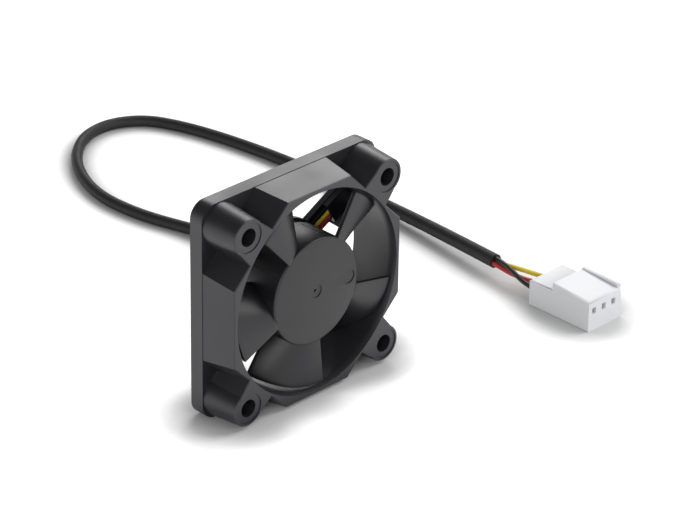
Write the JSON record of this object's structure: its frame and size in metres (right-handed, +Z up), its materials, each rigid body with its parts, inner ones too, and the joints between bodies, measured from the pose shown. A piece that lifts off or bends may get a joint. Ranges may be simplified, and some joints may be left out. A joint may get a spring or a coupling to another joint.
{
  "type": "cooling fan",
  "caption": "Small square axial cooling fan with a ducted frame, screw posts, a bladed rotor on a sleeve bearing, and a sleeved three-wire lead with a plug.",
  "frame": {"origin": "under the middle of the square frame, on the surface that its lower edge stands on", "axes": "+X to the right seen from the open front, +Y along the fan's axis from the open front to the motor base and out with the air, +Z up"},
  "size_m": [0.0785, 0.1199, 0.04],
  "materials": {
    "frame_plastic": "fine matt moulding, dark grey",
    "impeller_plastic": "satin moulding, dark grey",
    "yoke_steel": "zinc plated",
    "magnet_ferrite": "matt",
    "shaft_steel": "ground",
    "washer_nylon": "natural",
    "spring_steel": "oiled",
    "bearing_bronze": "sintered",
    "cap_plastic": "satin",
    "core_steel": "stamped sheets",
    "insulator_nylon": "natural",
    "coil_copper": "enamelled wire",
    "tinned_metal": "tinned",
    "board_laminate": "lacquered",
    "chip_epoxy": "moulded",
    "capacitor_ceramic": "fired",
    "resistor_ceramic": "fired",
    "lead_yellow": "extruded",
    "lead_red": "extruded",
    "lead_black": "extruded",
    "sleeve_black": "extruded tube",
    "plug_nylon": "natural white"
  },
  "bodies": {
    "frame": {"housing": "frame_plastic", "sleeve_bearing": "bearing_bronze", "bearing_cap": "cap_plastic", "stator_core": "core_steel", "front_insulator": "insulator_nylon", "rear_insulator": "insulator_nylon", "coil_1": "coil_copper", "coil_2": "coil_copper", "coil_3": "coil_copper", "coil_4": "coil_copper", "winding_pins": "tinned_metal", "circuit_board": "board_laminate", "driver_chip": "chip_epoxy", "capacitor": "capacitor_ceramic", "resistor": "resistor_ceramic", "solder_joints": "tinned_metal", "fan_lead_yellow": "lead_yellow", "fan_lead_red": "lead_red", "fan_lead_black": "lead_black", "cable_sleeve": "sleeve_black", "plug_lead_yellow": "lead_yellow", "plug_lead_red": "lead_red", "plug_lead_black": "lead_black", "plug_housing": "plug_nylon", "plug_terminals": "tinned_metal"},
    "rotor": {"impeller": "impeller_plastic", "rotor_yoke": "yoke_steel", "ring_magnet": "magnet_ferrite", "shaft": "shaft_steel", "thrust_washer": "washer_nylon", "retaining_ring": "spring_steel"}
  },
  "joints": [
    {"name": "rotor_spin", "type": "hinge", "parent": "frame", "child": "rotor", "pos_m": [0, 0, 0.02], "axis": [0, -1, 0], "continuous": true}
  ]
}
